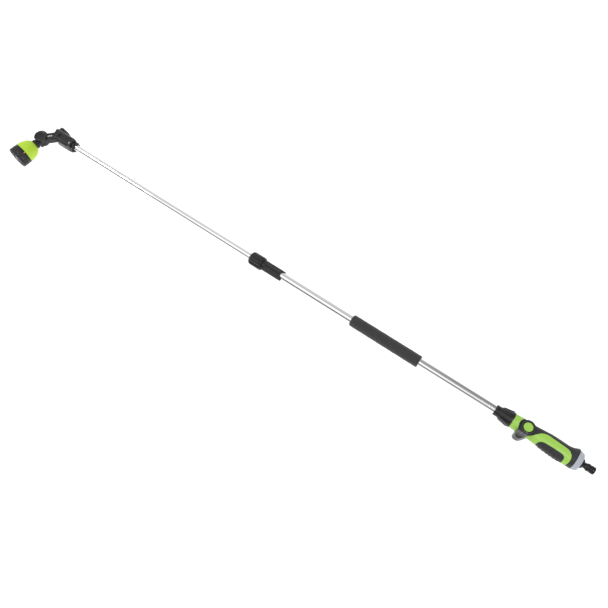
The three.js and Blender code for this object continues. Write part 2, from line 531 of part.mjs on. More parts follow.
// ---- spray head ----------------------------------------------------------------------------------
// Everything on the head is made along its own +X, the spray axis, from the knuckle's centre.
function head() {
  const group = new THREE.Group();
  group.position.set(KNUCKLE.x, KNUCKLE.y, 0);
  group.rotation.z = HEAD_ANGLE;
  wand.add(group);
  const centre = new THREE.Vector2(0, 0);
  const low = SWIVEL.split - 0.4; // top face of the elbow's barrel

  const neck = unite(rodX(4.5, 18.7, 10.5), rodX(18, 30, 9));
  const foot = block(3.3, 16.2, -9.7, 9.7, SWIVEL.bottom + 1, low - 0.15);
  const windowAngle = ARM_PIVOT.clone().sub(KNUCKLE).angle() - HEAD_ANGLE;
  const window = turnedZ(solid(geometryOf(rodX(0, 9, 3.2, FINE))), windowAngle);
  const elbow = cut(
    unite(
      cut(unite(neck, foot), rodZ(centre, low + 0.05, 30, SWIVEL_R + 0.5)),
      rodZ(centre, SWIVEL.bottom, low, SWIVEL_R),
      rodZ(centre, low - 1, SWIVEL.top + GAP, SWIVEL.axleR)),
    rodZ(centre, SWIVEL.bottom + 3, SWIVEL.top + 1, 3.8, FINE),
    solid(geometryOf(rodX(0, 24, 2.6, FINE)).translate(0, 0, -5.7)),
    rodX(21, 31, 4.4, FINE),
    window,
    upright(ring(low - 1.3, low + 1, 8.4, 10.4), centre));
  piece('swivel_elbow', elbow, BLACK, group);
  piece('swivel_o_ring', upright(torus(low - 0.5, 9.4, 0.6), centre), SOFT_BLACK, group);

  const cap = turned([[8.6, 0], [8.6, 3.5], [SWIVEL.top + 0.7, 3.5], [SWIVEL.top + 0.7, SWIVEL.capR - 0.8],
    [12.6, SWIVEL.capR], [14, SWIVEL.capR], [SWIVEL.capTop, SWIVEL.capR - 1.4], [14.3, SWIVEL.capR - 4],
    [13.8, 6], [13.6, 0]]);
  piece('swivel_cap', upright(cap, centre), BLACK, group);

  const nutOutline = lobedOutline(12.6, 12, 0.8, 36);
  piece('neck_nut', cut(prismX(nutOutline, 19, 27.5), rodX(10, 30, 9 + GAP)), BLACK, group);

  const outside = [[BELL.top, 14.4], [30, 17], [34, 20.4], [40, 23.6], [47, 26], [55, 27.6],
    [BELL.rim, BELL.rimR]];
  const inside = [[BELL.rim, 26.2], [55.8, 25.4], [47.8, 23.8], [40.8, 21.4], [34.8, 18.2], [32.2, 14.8],
    [30, 12.2]];
  const bell = turned([[BELL.top, 9 + GAP], ...outside, ...inside, [BELL.top + 2, 9 + GAP]]);
  piece('bell', bell, BELL_GREEN, group);
  piece('bell_gasket', ring(30.3, 32.3, 4.6, 8.6, FINE), SOFT_BLACK, group);
  // Dial, its front plate and the screw they turn on.
  const cup = turned([[32.6, DIAL.boreR], [32.6, DIAL.hubR], [DIAL.back, DIAL.hubR], [DIAL.back, DIAL.r],
    [DIAL.front - 1, DIAL.r], [DIAL.front, DIAL.r - 0.8], [DIAL.front, 25.2], [83.4, 25.2],
    [83.4, DIAL.boreR]]);
  const grips = Array.from({ length: 8 }, (_, i) => {
    const groove = geometryOf(rodX(DIAL.back + 5, DIAL.front + 2, 3.4, FINE)).translate(0, DIAL.r + 2.2, 0);
    return turnedX(solid(groove), (i * Math.PI) / 4);
  });
  piece('pattern_dial', cut(cup, ...grips), BLACK, group);
  const mark = cut(block(DIAL.back + 0.5, DIAL.back + 4.7, -0.9, 0.9, DIAL.r - 0.5, DIAL.r + 0.6),
    rodX(DIAL.back - 1, DIAL.back + 6, DIAL.r + 0.1));
  const markAngle = -Math.PI / 4; // on the side that faces up and towards the handle
  piece('index_mark', turnedX(mark, markAngle), ORANGE, group);
  const nozzles = Array.from({ length: 8 }, (_, i) => {
    const size = i % 2 ? 2.2 : 4.2;
    return turnedX(solid(geometryOf(rodX(84.8, 90, size, 10)).translate(0, 17, 0)), (i * Math.PI) / 4);
  });
  piece('spray_plate', cut(rodX(83.7, 86, 24.9), rodX(83, 90, 2.2, FINE), ...nozzles), BLACK, group);
  const screwHead = [[86.3, 1.7], [86.3, 4], [87.4, 3.8], [87.9, 2.6], [87.9, 0]];
  const screw = turned([[66, 0], [66, 1.7], ...screwHead], FINE);
  piece('dial_screw', screw, STEEL, group);
}

tubes();
telescopicLock();
piston();
handle();
noseNut();
rearEnd();
valve();
lever();
coupling();
thumbCatch();
arm();
head();

// The origin is the middle of the wand's bounding box, on the surface that it lies on.
const box = new THREE.Box3().setFromObject(wand, true);
wand.position.set(-(box.min.x + box.max.x) / 2, -(box.min.y + box.max.y) / 2, -box.min.z);

export default wand;
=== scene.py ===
# Telescopic watering wand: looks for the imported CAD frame. Built in millimetres along the wand's own axis
# (X along the wand, -Y the side the head bends to, +Z up), then placed in metres in the shared frame.
import math

import bmesh
import bpy
from mathutils import Matrix, Vector


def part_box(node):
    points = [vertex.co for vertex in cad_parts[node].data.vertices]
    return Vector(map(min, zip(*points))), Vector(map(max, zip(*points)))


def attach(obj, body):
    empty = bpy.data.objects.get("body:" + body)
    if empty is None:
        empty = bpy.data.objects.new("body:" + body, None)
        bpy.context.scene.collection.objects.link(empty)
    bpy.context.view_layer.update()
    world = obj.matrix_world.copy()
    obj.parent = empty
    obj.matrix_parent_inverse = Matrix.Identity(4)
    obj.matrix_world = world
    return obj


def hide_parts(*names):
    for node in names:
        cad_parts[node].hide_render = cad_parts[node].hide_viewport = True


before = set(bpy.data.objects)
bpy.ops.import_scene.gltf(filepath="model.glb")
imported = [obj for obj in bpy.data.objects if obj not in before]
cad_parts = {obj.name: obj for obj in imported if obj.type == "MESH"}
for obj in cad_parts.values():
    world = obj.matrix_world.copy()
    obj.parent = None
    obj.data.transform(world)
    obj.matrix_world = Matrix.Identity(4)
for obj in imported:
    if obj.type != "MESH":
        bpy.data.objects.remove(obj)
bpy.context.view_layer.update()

MM = 0.001
GAP = 0.3  # between neighbouring pieces

# ---- stations on the wand, in millimetres, measured as in the CAD -----------------------------------
OUTER_R = 10.0
INNER_R = 8.5
OUTER_TUBE = (-136.0, 536.5)
INNER_TUBE = (-815.0, -62.3)
SLEEVE = (-139.0, -80.0)
SLEEVE_NOSE = -160.0
NUT = (-176.0, -139.3)
FOAM = (118.0, 298.0)
FOAM_R = 14.3
LEVER_PIVOT = Vector((558.0, -1.0, 0.0))
ARM_PIVOT = Vector((-848.0, 0.0, 0.0))
KNUCKLE = Vector((-880.0, -31.0, 0.0))
HEAD_ANGLE = math.radians(263)
PLUG_GROOVE = 702.9
GRIP_START = 525.8
GRIP_END = 666.2
LEVER_SWING = (0, 8, 16, 24)  # degrees, up to the end of the lever's range
LEVER_SEAT = 12.9  # half the width left of the grip between the lever's two cheeks
FORK_HALF = 11.4
PIN_R = 3.3
PASSAGE_R = 5.0
SPRING_Y = 12.6
SPRING_R = 2.6

tube_low, tube_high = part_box("outer_tube")
axis_point = (tube_low + tube_high) / 2
AXIS = Vector((tube_low.x - OUTER_TUBE[0] * MM, axis_point.y, axis_point.z))
TO_FRAME = Matrix.Translation(AXIS) @ Matrix.Scale(MM, 4)


def local_frame(origin, angle):
    """Places a piece that is made along its own +X, turned about Z."""
    return TO_FRAME @ Matrix.Translation(origin) @ Matrix.Rotation(angle, 4, "Z")


arm_heading = math.atan2(KNUCKLE.y - ARM_PIVOT.y, KNUCKLE.x - ARM_PIVOT.x)
ARM_FRAME = local_frame(ARM_PIVOT, arm_heading)
HEAD_FRAME = local_frame(KNUCKLE, HEAD_ANGLE)


# ---- camera -----------------------------------------------------------------------------------------
def add_camera():
    """A view from above the bend side: the wand runs down to the right, its handle nearer the camera."""
    slope, tilt, roll = (math.radians(a) for a in (32.33, 16.0, 20.0))
    zero = Vector((0.014646, 0.02386, -1.4174))  # the wand's zero station as the camera sees it, in metres
    along = Vector((math.cos(slope) * math.cos(tilt), -math.sin(slope) * math.cos(tilt), math.sin(tilt)))
    across = Vector((math.sin(slope), math.cos(slope), 0.0))
    facing = along.cross(across)
    up = math.cos(roll) * facing + math.sin(roll) * across
    back = math.cos(roll) * across - math.sin(roll) * facing
    to_wand = Matrix((along, back, up))
    data = bpy.data.cameras.new("camera")
    data.sensor_width = 36.0
    data.lens = 35.5263
    data.clip_end = 50.0
    camera = bpy.data.objects.new("camera", data)
    bpy.context.scene.collection.objects.link(camera)
    camera.matrix_world = Matrix.Translation(AXIS - to_wand @ zero) @ to_wand.to_4x4()
    bpy.context.scene.camera = camera


# ---- mesh helpers -----------------------------------------------------------------------------------
def new_object(name, vertices, faces):
    mesh = bpy.data.meshes.new(name)
    mesh.from_pydata([tuple(v) for v in vertices], [], faces)
    mesh.update()
    obj = bpy.data.objects.new(name, mesh)
    bpy.context.scene.collection.objects.link(obj)
    bm = bmesh.new()
    bm.from_mesh(mesh)
    bmesh.ops.recalc_face_normals(bm, faces=bm.faces)
    bm.to_mesh(mesh)
    bm.free()
    return obj


def lathe(name, profile, segments=96):
    """A solid of revolution about X from (x, radius) points. Off the axis, the profile closes on itself."""
    vertices, rings, faces = [], [], []
    for x, r in profile:
        if r < 1e-6:
            rings.append([len(vertices)] * segments)
            vertices.append((x, 0, 0))
            continue
        rings.append(range(len(vertices), len(vertices) + segments))
        for i in range(segments):
            a = 2 * math.pi * i / segments
            vertices.append((x, r * math.cos(a), r * math.sin(a)))
    if profile[0][1] > 0:
        rings.append(rings[0])
    for below, above in zip(rings, rings[1:]):
        for i in range(segments):
            j = (i + 1) % segments
            corners = list(dict.fromkeys((below[i], below[j], above[j], above[i])))
            if len(corners) > 2:
                faces.append(corners)
    return new_object(name, vertices, faces)


def rod_x(x0, x1, r, segments=64):
    return lathe("rod", [(x0, 0), (x0, r), (x1, r), (x1, 0)], segments)


def turn(obj, matrix):
    obj.data.transform(matrix)
    return obj


def upright(obj, at=Vector((0, 0, 0))):
    """Stands a piece that was made about X on a point of the XY plane, +X becoming +Z."""
    return turn(obj, Matrix.Translation(at) @ Matrix.Rotation(-math.pi / 2, 4, "Y"))


def rod_z(at, z0, z1, r, segments=64):
    return upright(rod_x(z0, z1, r, segments), Vector((at[0], at[1], 0)))


def prism(name, outline, low, high, along="Z"):
    """A prism of an outline: (x, y) points between heights, or (y, z) points between stations on X."""
    count = len(outline)
    vertices = []
    for level in (low, high):
        for a, b in outline:
            vertices.append((a, b, level) if along == "Z" else (level, a, b))
    faces = [tuple(range(count)), tuple(range(2 * count - 1, count - 1, -1))]
    faces += [(i, (i + 1) % count, (i + 1) % count + count, i + count) for i in range(count)]
    return new_object(name, vertices, faces)


def block(x0, x1, y0, y1, z0, z1):
    return prism("block", [(x0, y0), (x1, y0), (x1, y1), (x0, y1)], z0, z1)


def rounded(points, radius=2.0, steps=4):
    """An outline with each corner replaced by a short curve."""
    out = []
    count = len(points)
    for i in range(count):
        before, here, after = (Vector(points[(i + k) % count]) for k in (-1, 0, 1))
        first, last = before - here, after - here
        reach = min(radius, first.length * 0.45, last.length * 0.45)
        start, end = here + first.normalized() * reach, here + last.normalized() * reach
        for k in range(steps + 1):
            t = k / steps
            out.append(tuple(start * (1 - t) ** 2 + here * 2 * t * (1 - t) + end * t * t))
    return out


def grown(points, distance):
    """An anticlockwise outline moved outwards."""
    out = []
    for i, (x, y) in enumerate(points):
        before, after = Vector(points[i - 1]), Vector(points[(i + 1) % len(points)])
        along = (after - before).normalized()
        out.append((x + along.y * distance, y - along.x * distance))
    return out


def lobed(r, lobes, depth, count=192, power=1.0):
    out = []
    for i in range(count):
        a = 2 * math.pi * i / count
        here = r - depth * (0.5 - 0.5 * math.cos(lobes * a)) ** power
        out.append((here * math.cos(a), here * math.sin(a)))
    return out


def boolean(obj, operation, *tools):
    """Joins, cuts or intersects obj with each tool in turn, and removes the tools."""
    for tool in tools:
        modifier = obj.modifiers.new("boolean", "BOOLEAN")
        modifier.operation = operation
        modifier.solver = "MANIFOLD"
        modifier.object = tool
        bpy.context.view_layer.update()
        evaluated = obj.evaluated_get(bpy.context.evaluated_depsgraph_get())
        mesh = bpy.data.meshes.new_from_object(evaluated)
        obj.modifiers.clear()
        old = obj.data
        obj.data = mesh
        bpy.data.meshes.remove(old)
        bpy.data.objects.remove(tool)
    return obj


def union(obj, *tools):
    return boolean(obj, "UNION", *tools)


def cut(obj, *tools):
    return boolean(obj, "DIFFERENCE", *tools)


def common(obj, *tools):
    return boolean(obj, "INTERSECT", *tools)


def copy_of(obj):
    twin = bpy.data.objects.new(obj.name, obj.data.copy())
    bpy.context.scene.collection.objects.link(twin)
    return twin


def piece(obj, name, body, material, stands_for=(), place=TO_FRAME, bevel=0.3, angle=35):
    """Finishes a piece: places it in metres, rounds its edges, gives it its finish and its body."""
    obj.name = name
    obj.data.name = name
    obj.data.transform(place)
    obj.data.materials.clear()
    obj.data.materials.append(material)
    for polygon in obj.data.polygons:
        polygon.use_smooth = True
    obj.data.set_sharp_from_angle(angle=math.radians(angle))
    if bevel:
        modifier = obj.modifiers.new("edges", "BEVEL")
        modifier.width = bevel * MM
        modifier.segments = 2
        modifier.limit_method = "ANGLE"
        modifier.angle_limit = math.radians(angle)
        modifier.harden_normals = False
    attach(obj, body)
    if stands_for:
        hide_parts(*stands_for)
    return obj


# ---- materials --------------------------------------------------------------------------------------
class Finish:
    """A node material with a few helpers to wire it."""

    def __init__(self, name):
        self.material = bpy.data.materials.new(name)
        self.material.use_nodes = True
        self.nodes = self.material.node_tree.nodes
        self.links = self.material.node_tree.links
        self.shader = self.nodes["Principled BSDF"]
        self.where = self.nodes.new("ShaderNodeTexCoord").outputs["Object"]

    def set(self, **values):
        for key, value in values.items():
            self.shader.inputs[key.replace("_", " ")].default_value = value

    def noise(self, scale, detail=4.0, stretch=(1, 1, 1)):
        mapping = self.nodes.new("ShaderNodeMapping")
        mapping.inputs["Scale"].default_value = stretch
        self.links.new(self.where, mapping.inputs["Vector"])
        node = self.nodes.new("ShaderNodeTexNoise")
        node.inputs["Scale"].default_value = scale
        node.inputs["Detail"].default_value = detail
        self.links.new(mapping.outputs["Vector"], node.inputs["Vector"])
        return node.outputs["Fac"]

    def cells(self, scale):
        node = self.nodes.new("ShaderNodeTexVoronoi")
        node.inputs["Scale"].default_value = scale
        self.links.new(self.where, node.inputs["Vector"])
        return node.outputs["Distance"]

    def spread(self, value, low, high, start=0.3, end=0.7):
        node = self.nodes.new("ShaderNodeMapRange")
        node.inputs["From Min"].default_value = start
        node.inputs["From Max"].default_value = end
        node.inputs["To Min"].default_value = low
        node.inputs["To Max"].default_value = high
        self.links.new(value, node.inputs["Value"])
        return node.outputs["Result"]

    def mix(self, factor, first, second):
        node = self.nodes.new("ShaderNodeMix")
        node.data_type = "RGBA"
        self.links.new(factor, node.inputs["Factor"])
        for socket, value in ((node.inputs["A"], first), (node.inputs["B"], second)):
            if isinstance(value, tuple):
                socket.default_value = (*value, 1.0)
            else:
                self.links.new(value, socket)
        return node.outputs["Result"]

    def edges(self, low=0.52, high=0.6):
        geometry = self.nodes.new("ShaderNodeNewGeometry")
        return self.spread(geometry.outputs["Pointiness"], 0.0, 1.0, low, high)

    def colour(self, value):
        self.links.new(value, self.shader.inputs["Base Color"])

    def roughness(self, value):
        self.links.new(value, self.shader.inputs["Roughness"])

    def bump(self, value, strength, distance):
        node = self.nodes.new("ShaderNodeBump")
        node.inputs["Strength"].default_value = strength
        node.inputs["Distance"].default_value = distance
        self.links.new(value, node.inputs["Height"])
        if self.shader.inputs["Normal"].is_linked:
            self.links.new(self.shader.inputs["Normal"].links[0].from_socket, node.inputs["Normal"])
        self.links.new(node.outputs["Normal"], self.shader.inputs["Normal"])


def shade(colour, factor):
    return tuple(min(c * factor, 1.0) for c in colour)


def plastic(name, colour, rough, grain=1400.0, grain_depth=0.00004, edge_wear_and_highlight=1.6, variation=0.1, shine=0.4):
    """Moulded plastic: faint flow marks, fine spark-eroded grain, and paler edges that are partly rubbed
    wear and partly a painted highlight.
    """
    f = Finish(name)
    broad = f.noise(28.0, 3.0)
    tone = f.mix(broad, shade(colour, 1 - variation), shade(colour, 1 + variation))
    # Convex edges are painted paler: partly rubbed wear, partly a painted highlight where rounded edges
    # catch the light.
    f.colour(f.mix(f.edges(), tone, shade(colour, edge_wear_and_highlight)))
    f.roughness(f.spread(f.noise(170.0, 5.0), rough - 0.06, rough + 0.07))
    f.bump(f.noise(grain, 2.0), 0.35, grain_depth)
    f.bump(f.noise(60.0, 2.0), 0.12, 0.0002)
    f.set(IOR=1.5, Specular_IOR_Level=shine)
    return f.material


def rubber(name, colour, rough=0.72, grain=900.0):
    f = Finish(name)
    tone = f.mix(f.noise(35.0, 4.0), shade(colour, 0.88), shade(colour, 1.15))
    dust = f.spread(f.noise(420.0, 6.0), 0.0, 0.35, 0.5, 0.75)
    f.colour(f.mix(dust, tone, shade(colour, 1.7)))
    f.roughness(f.spread(f.noise(240.0, 3.0), rough - 0.05, rough + 0.08))
    f.bump(f.cells(grain), 0.35, 0.00006)
    f.set(Sheen_Weight=0.12, Sheen_Roughness=0.4)
    return f.material


def aluminium(name, colour, rough):
    """Drawn and polished tube: fine lines along the tube, faint handling marks."""
    f = Finish(name)
    lines = f.noise(1.0, 4.0, (6.0, 1500.0, 1500.0))
    marks = f.noise(22.0, 6.0, (0.4, 1.0, 1.0))
    f.colour(f.mix(marks, shade(colour, 0.96), shade(colour, 1.03)))
    f.roughness(f.spread(f.noise(1.0, 3.0, (14.0, 600.0, 600.0)), rough - 0.02, rough + 0.03))
    f.bump(lines, 0.04, 0.00001)
    f.set(Metallic=1.0, Anisotropic=0.25)
    return f.material


def steel():
    f = Finish("zinc_plated_steel")
    f.colour(f.mix(f.noise(300.0, 5.0), (0.42, 0.42, 0.44), (0.66, 0.66, 0.68)))
    f.roughness(f.spread(f.noise(500.0, 3.0), 0.25, 0.42))
    f.bump(f.noise(1800.0, 2.0), 0.2, 0.00002)
    f.set(Metallic=1.0)
    return f.material


def foam():
    """Closed-cell foam: small open pores in a matt skin, scuffed along its length."""
    f = Finish("grip_foam")
    pores = f.spread(f.cells(750.0), 0.0, 1.0, 0.05, 0.45)
    tone = f.mix(pores, (0.012, 0.0117, 0.0118), (0.040, 0.0385, 0.0385))
    scuff = f.spread(f.noise(30.0, 5.0, (0.5, 1.0, 1.0)), 0.0, 0.35, 0.5, 0.8)
    f.colour(f.mix(scuff, tone, (0.052, 0.050, 0.050)))
    f.roughness(f.spread(f.noise(200.0, 3.0), 0.86, 0.98))
    f.bump(f.cells(750.0), 0.7, 0.00025)
    f.bump(f.noise(2600.0, 3.0), 0.4, 0.0001)
    f.set(Sheen_Weight=0.2, Sheen_Roughness=0.5)
    return f.material


def textured_grey():
    """Light grey plastic with a fine leather-like moulded texture."""
    f = Finish("textured_grey")
    tone = f.mix(f.noise(40.0, 3.0), (0.34, 0.37, 0.43), (0.42, 0.455, 0.52))
    pits = f.spread(f.cells(620.0), 0.0, 1.0, 0.1, 0.5)
    f.colour(f.mix(pits, tone, (0.46, 0.49, 0.55)))
    f.roughness(f.spread(f.noise(300.0, 3.0), 0.5, 0.66))
    f.bump(f.cells(620.0), 0.6, 0.00012)
    return f.material


# The black's higher edge factor paints highlights on its rounded edges, as well as wear.
black = plastic("black_plastic", (0.014, 0.014, 0.015), 0.31, grain_depth=0.00002, edge_wear_and_highlight=1.7, shine=0.36)
# A lighter black that paints the highlight on the lever's rounded bezel rims.
bezel_painted_highlight = plastic("bezel_painted_highlight", (0.055, 0.055, 0.057), 0.22, edge_wear_and_highlight=1.3)
matt_black = plastic("matt_black", (0.012, 0.012, 0.012), 0.5, shine=0.25)
dial_black = plastic("dial_plastic", (0.012, 0.012, 0.013), 0.34, shine=0.35)
soft_black = rubber("soft_cover", (0.022, 0.022, 0.023), 0.62)
seal_black = rubber("seal_rubber", (0.022, 0.022, 0.022))
gloss_black = plastic("gloss_black", (0.010, 0.010, 0.011), 0.10, grain_depth=0.000005, edge_wear_and_highlight=1.3)
handle_green = plastic("handle_green", (0.350, 0.630, 0.095), 0.40, edge_wear_and_highlight=1.15, variation=0.04)
bell_green = plastic("bell_green", (0.520, 0.790, 0.055), 0.36, edge_wear_and_highlight=1.12, variation=0.035)
outer_metal = aluminium("outer_aluminium", (0.82, 0.82, 0.83), 0.08)
inner_metal = aluminium("inner_aluminium", (0.90, 0.90, 0.905), 0.07)
plated = steel()
nylon = plastic("nylon", (0.70, 0.69, 0.64), 0.5, edge_wear_and_highlight=1.1, variation=0.05)
orange = plastic("orange_paint", (0.80, 0.36, 0.07), 0.5, edge_wear_and_highlight=1.1)
grip_foam = foam()
grey_texture = textured_grey()


# ---- tubes, foam and telescopic lock ----------------------------------------------------------------
def tubes():
    lip = 0.35
    for name, span, r, body, slot, metal in (
            ("outer_tube_metal", OUTER_TUBE, OUTER_R, "handle", "outer_aluminium", outer_metal),
            ("inner_tube_metal", INNER_TUBE, INNER_R, "inner", "inner_aluminium", inner_metal)):
        profile = [(span[0], r - 1), (span[0], r - lip), (span[0] + lip, r), (span[1] - lip, r),
                   (span[1], r - lip), (span[1], r - 1)]
        piece(lathe(name, profile, 128), name, body, metal, [name.replace("_metal", "")], bevel=0)


def foam_grip():
    """A sleeve with soft rounded ends and a skin that is slightly uneven, as stretched foam is."""
    start, end = FOAM
    soft = 3.2
    profile = [(start + 0.4, OUTER_R + 0.05)]
    for k in range(9):
        a = math.pi / 2 * k / 8
        profile.append((start + soft - soft * math.cos(a), FOAM_R - soft + soft * math.sin(a)))
    rows = 110
    for k in range(1, rows):
        profile.append((start + soft + (end - start - 2 * soft) * k / rows, FOAM_R))
    for k in range(9):
        a = math.pi / 2 * k / 8
        profile.append((end - soft + soft * math.sin(a), FOAM_R - soft + soft * math.cos(a)))
    profile.append((end - 0.4, OUTER_R + 0.05))
    obj = lathe("foam", profile, 112)
    for v in obj.data.vertices:
        r = math.hypot(v.co.y, v.co.z)
        if r > OUTER_R + 1:
            a = math.atan2(v.co.z, v.co.y)
            wave = 0.10 * math.sin(v.co.x * 0.19 + 2 * a) + 0.08 * math.sin(v.co.x * 0.47 - 3 * a + 1.3)
            v.co.y *= (r + wave - 0.15) / r
            v.co.z *= (r + wave - 0.15) / r
    piece(obj, "foam_sleeve", "handle", grip_foam, ["foam_grip"], bevel=0)


def lock_sleeve():
    x0, x1 = SLEEVE
    obj = prism("sleeve", lobed(13.1, 14, 1.3, power=0.6), x0, x1, "X")
    collar = lathe("collar", [(x0, 0), (x0, 12.4), (x0 + 0.8, 13.1), (x0 + 7, 13.1), (x0 + 8, 12.6),
                              (x0 + 8, 0)])
    union(obj, collar, rod_x(SLEEVE_NOSE, x0 + 1, 11.9))
    notch = rod_z((x1 + 8, 0), -20, 20, 14)
    taper = lathe("taper", [(SLEEVE_NOSE - 1, 0), (SLEEVE_NOSE - 1, 20), (x1 - 10, 20), (x1 - 6, 13.1),
                            (x1 + 1, 12.2), (x1 + 1, 0)])
    common(obj, taper)
    cut(obj, rod_x(SLEEVE_NOSE - 1, OUTER_TUBE[0] - GAP, INNER_R + 0.4),
        rod_x(OUTER_TUBE[0] - GAP, x1 + 1, OUTER_R + 0.15), notch)
    piece(obj, "lock_sleeve_body", "handle", black, ["lock_sleeve"])


def lock_nut():
    x0, x1 = NUT
    r = 17.2
    obj = prism("nut", lobed(r, 6, 1.7, power=2.0), x0, x1, "X")
    shape = lathe("shape", [(x0, 0), (x0, 13.4), (x0 + 1, 14.4), (x0 + 4.5, 17.4), (x1 - 6.5, 17.4),
                            (x1 - 5.9, 16.0), (x1 - 4.9, 16.0), (x1 - 4.3, 16.9), (x1 - 1.5, 16.7),
                            (x1, 15.4), (x1, 0)])
    common(obj, shape)
    cut(obj, rod_x(x0 - 1, x1 + 1, INNER_R + 0.4), rod_x(x0 + 2.5, x1 + 1, 12.4))
    piece(obj, "lock_nut_body", "lock", black, ["lock_nut"], bevel=0.4)


# ---- handle -----------------------------------------------------------------------------------------
GRIP = [(GRIP_START, 15.9, 15.9, 15.8), (535, 16.4, 16.4, 16.2), (545, 16.9, 17, 16),
        (558, 16.8, 17.2, 15.4), (572, 16.4, 17.3, 15.6), (590, 17.6, 19, 17), (606, 18.6, 20.8, 18.2),
        (625, 18.2, 22.2, 18.8), (643, 17.5, 22.4, 19), (655, 19.2, 22, 20.2), (663, 23, 21.8, 22),
        (666.5, 23.7, 21.8, 22.5)]
PANEL = [(552, -30), (656, -30), (657.5, -14), (655, -4.5), (648.5, 2.8), (640, 4.8), (621, 5.9),
         (603, 7.6), (595.5, 7.5), (586, 3.7), (578.5, -4.5), (571.5, -12), (564, -15.2), (556, -17.4)]
TAB = [(542.8, -3), (541.3, -22.5), (541.7, -27), (544.7, -30.3), (549, -31.5), (553.5, -30.9),
       (557.5, -28.3), (564, -20), (571.3, -5)]
PAD = [(585, -30), (646.5, -30), (646, -17), (643, -12.6), (635.5, -11), (621, -10.6), (606, -10.4),
       (599, -10.5), (593, -12.3), (589, -15.8)]


def spline(rows, t):
    """Catmull-Rom through the rows at t from 0 to 1."""
    span = t * (len(rows) - 1)
    i = min(int(span), len(rows) - 2)
    u = span - i
    p = [Vector(rows[max(0, min(len(rows) - 1, i + k))]) for k in (-1, 0, 1, 2)]
    return 0.5 * (2 * p[1] + (p[2] - p[0]) * u + (2 * p[0] - 5 * p[1] + 4 * p[2] - p[3]) * u * u
                  + (3 * p[1] - p[0] - 3 * p[2] + p[3]) * u ** 3)


def grip_loft(inset):
    samples, around = 88, 96
    vertices = []
    for i in range(samples + 1):
        x, top, bottom, side = spline(GRIP, i / samples)
        for j in range(around):
            a = 2 * math.pi * j / around
            c, s = math.cos(a), math.sin(a)
            height = (top if c > 0 else bottom) - inset
            vertices.append((x, height * math.copysign(abs(c) ** 0.92, c),
                             (side - inset) * math.copysign(abs(s) ** 0.92, s)))
    faces = [tuple(range(around)), tuple(samples * around + j for j in range(around - 1, -1, -1))]
    for i in range(samples):
        for j in range(around):
            k = (j + 1) % around
            a = i * around
            faces.append((a + j, a + k, a + around + k, a + around + j))
    return new_object("grip", vertices, faces)


def handle():
    wide = 40
    panel_line = rounded(PANEL, 6.0, 6)
    pad_line = rounded(PAD, 4.5, 6)
    edge_r = 19.2  # round the pivot, where the green front ring stops

    def lever_seats():
        room = rod_z(LEVER_PIVOT, -wide, wide, 16.6, 96)
        for degrees in LEVER_SWING:
            swing = (Matrix.Translation(LEVER_PIVOT) @ Matrix.Rotation(math.radians(degrees), 4, "Z")
                     @ Matrix.Translation(-LEVER_PIVOT))
            union(room, turn(prism("tab", grown(TAB, 0.5), -wide, wide), swing))
        return cut(room, block(500, 700, -wide, wide, -LEVER_SEAT, LEVER_SEAT))

    skin = grip_loft(0)
    cut(skin, union(common(grip_loft(2), block(544.7, 670, -wide, wide, -wide, wide)),
                    rod_x(500, 546, 13.4)))
    common(skin, block(GRIP_START, GRIP_END, -wide, wide, -wide, wide))

    ring_part = common(copy_of(skin), block(522, 545, -wide, wide, -wide, wide))
    cut(ring_part, rod_z(LEVER_PIVOT, -wide, wide, edge_r, 96), lever_seats())
    piece(ring_part, "front_ring_shell", "handle", handle_green, ["front_ring"], bevel=0.25)

    spine = common(copy_of(skin), union(block(545.3, 700, -wide, wide, -wide, wide),
                                        rod_z(LEVER_PIVOT, -wide, wide, edge_r - GAP, 96)))
    cut(spine, prism("hole", grown(panel_line, GAP), -wide, wide), rod_z(LEVER_PIVOT, -1, wide, 8.9),
        lever_seats())
    ridges, first_ridge, ridge_pitch, half_ridge = 12, 604, 3.4, 0.6
    bars = None
    for i in range(ridges):
        x = first_ridge + ridge_pitch * i
        bar = block(x - half_ridge, x + half_ridge, 6, wide, -8, 8)
        bars = bar if bars is None else union(bars, bar)
    union(spine, cut(common(grip_loft(-0.5), bars), grip_loft(1.2)))
    piece(spine, "grip_spine_cover", "handle", soft_black, ["grip_spine"], bevel=0.2)

    panel = common(copy_of(skin), prism("panel", panel_line, -wide, wide))
    cut(panel, prism("hole", grown(pad_line, GAP), -wide, wide), lever_seats())
    piece(panel, "green_side_panel", "handle", handle_green, ["green_panel"], bevel=0.3)

    pad = common(skin, prism("pad", pad_line, -wide, wide))
    proud = common(grip_loft(-0.9), prism("pad", grown(pad_line, -0.7), -wide, wide))
    cut(proud, grip_loft(1.2))
    rib_count, first_rib, rib_pitch = 6, 596, 8.2
    ribs = None
    for i in range(rib_count):
        x = first_rib + rib_pitch * i
        outline = [(x - 1.2, -30), (x + 3.6, -30), (x + 4.6, -12.6), (x - 0.2, -12.6)]
        rib = prism("rib", rounded(outline, 1.2, 3), -wide, wide)
        ribs = rib if ribs is None else union(ribs, rib)
    common(proud, ribs)
    union(pad, proud)
    piece(pad, "finger_pad_cover", "handle", soft_black, ["finger_pad"], bevel=0.15)


def nose_nut():
    back = 525.5
    rib_count = 6
    screw_at = (490.5, 0)
    obj = lathe("nose", [(485, 10.2), (485, 11.4), (486, 12), (495.2, 12), (496.2, 12.6), (499.5, 13.9),
                         (522, 17.4), (back, 17.4), (back, 13.4), (499.3, 13.4), (499.3, 10.2)])
    for i in range(rib_count):
        rib = prism("rib", rounded([(497.5, 12.6), (500, 15.2), (520, 18.6), (523.8, 17), (523.8, 14.5),
                                    (500, 13.8), (498.6, 13.5)], 1.0, 3), -1.6, 1.6)
        union(obj, turn(rib, Matrix.Rotation((i + 0.5) * 2 * math.pi / rib_count, 4, "X")))
    cut(obj, rod_z(screw_at, 8, 14, 1.6, 24))
    piece(obj, "nose_nut_body", "handle", black, ["nose_nut"])
    screw_head("nose_screw_head", screw_at, 10.4, 12.3, 2.4, 1.5, "handle", ["nose_screw"], matt_black)


